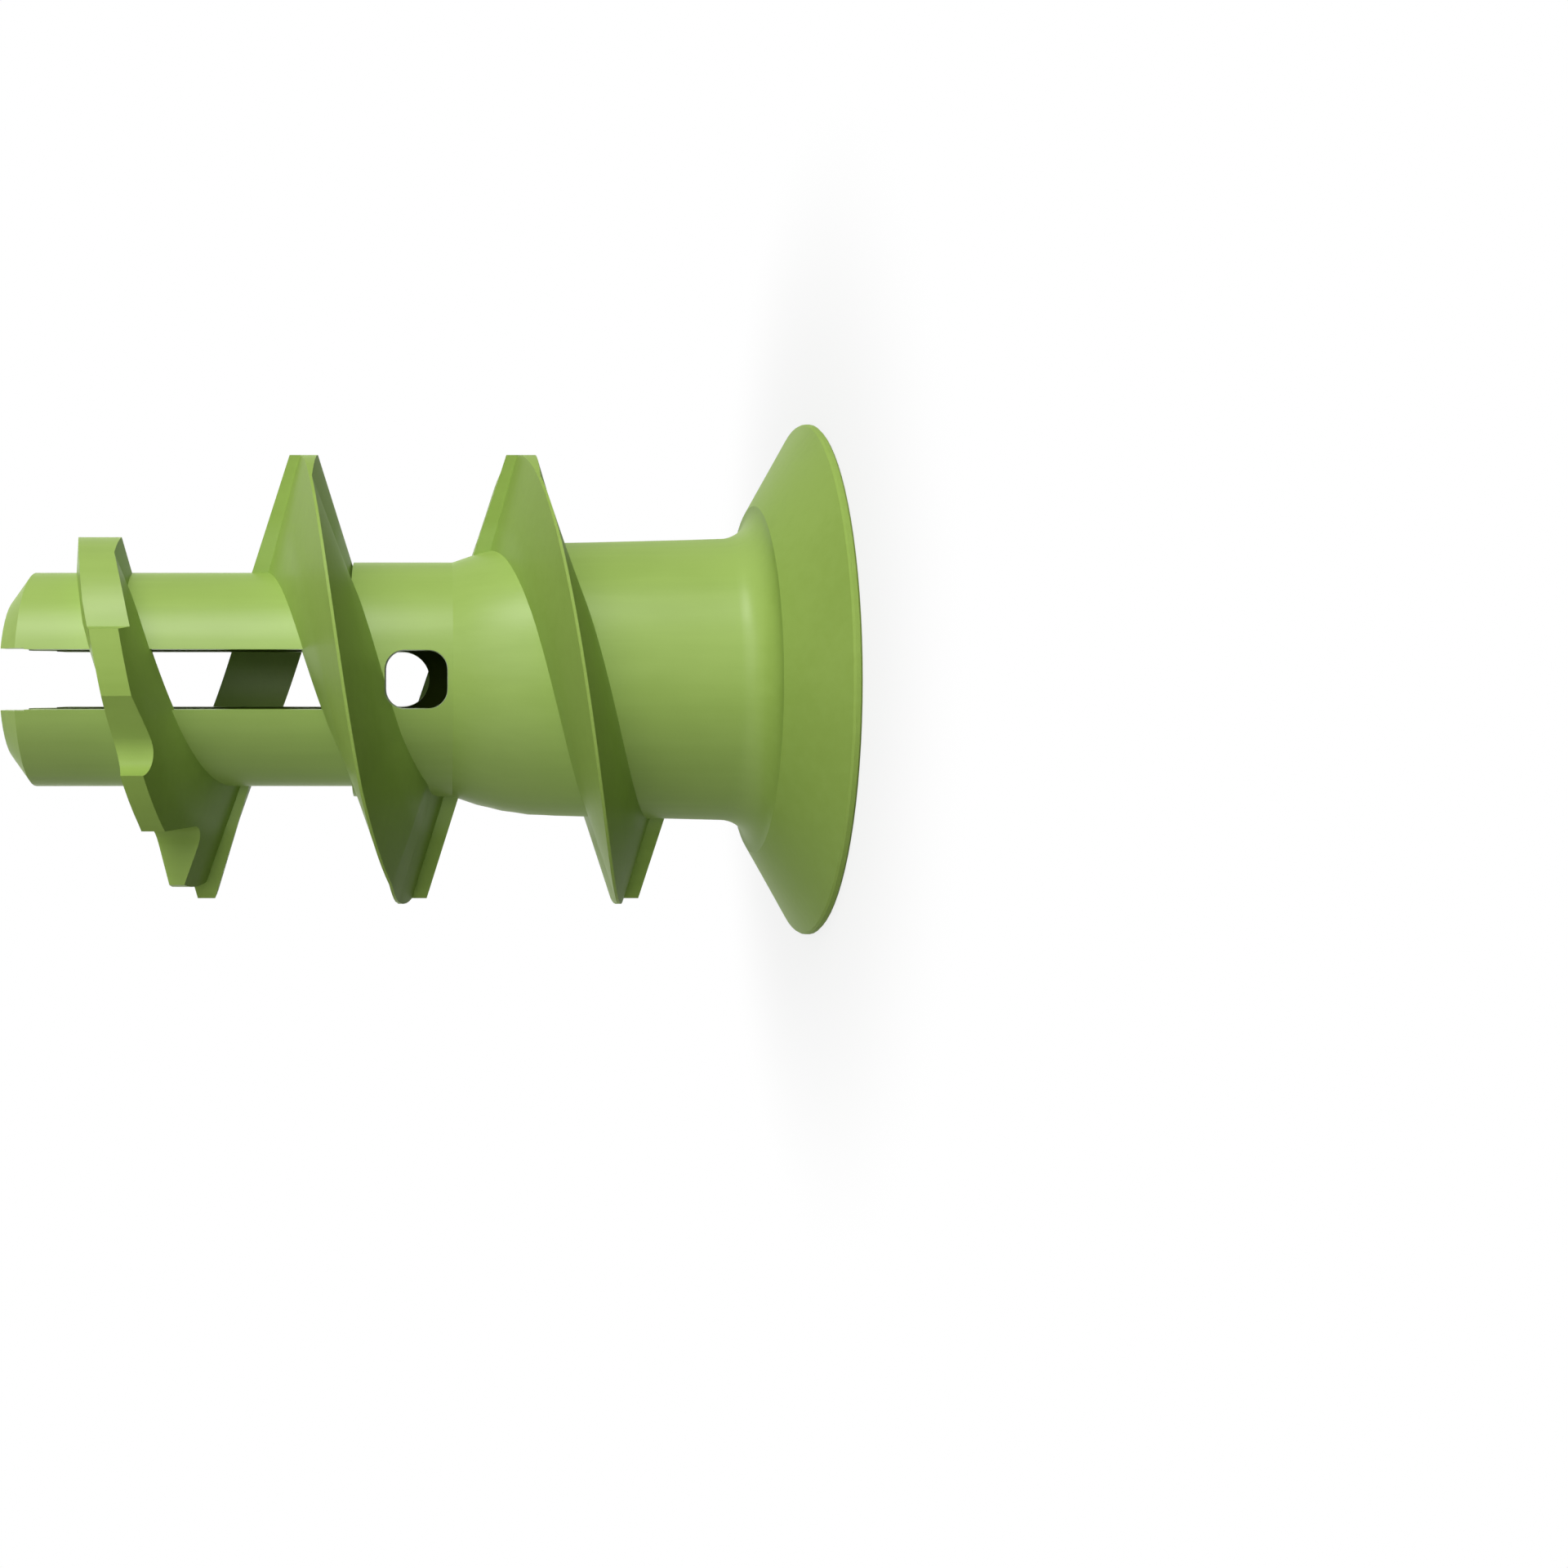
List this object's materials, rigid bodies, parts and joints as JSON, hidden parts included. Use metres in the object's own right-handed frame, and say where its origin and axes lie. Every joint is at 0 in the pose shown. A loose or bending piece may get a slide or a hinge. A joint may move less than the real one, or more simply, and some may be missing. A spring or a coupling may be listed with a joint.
{
  "type": "self-drilling drywall anchor",
  "caption": "Moulded nylon plug for plasterboard: cone flange with a cross recess, coarse outer thread, split tip with a toothed cutting thread, and a bore for a screw.",
  "frame": {"origin": "centre of the flange's flat outer face", "axes": "+Z along the bore axis from the flange to the split tip; the two slots face -Y and +Y"},
  "size_m": [0.0142, 0.0142, 0.022],
  "materials": {
    "nylon": "satin moulded nylon"
  },
  "bodies": {
    "root": {"anchor_body": "nylon"}
  },
  "joints": []
}
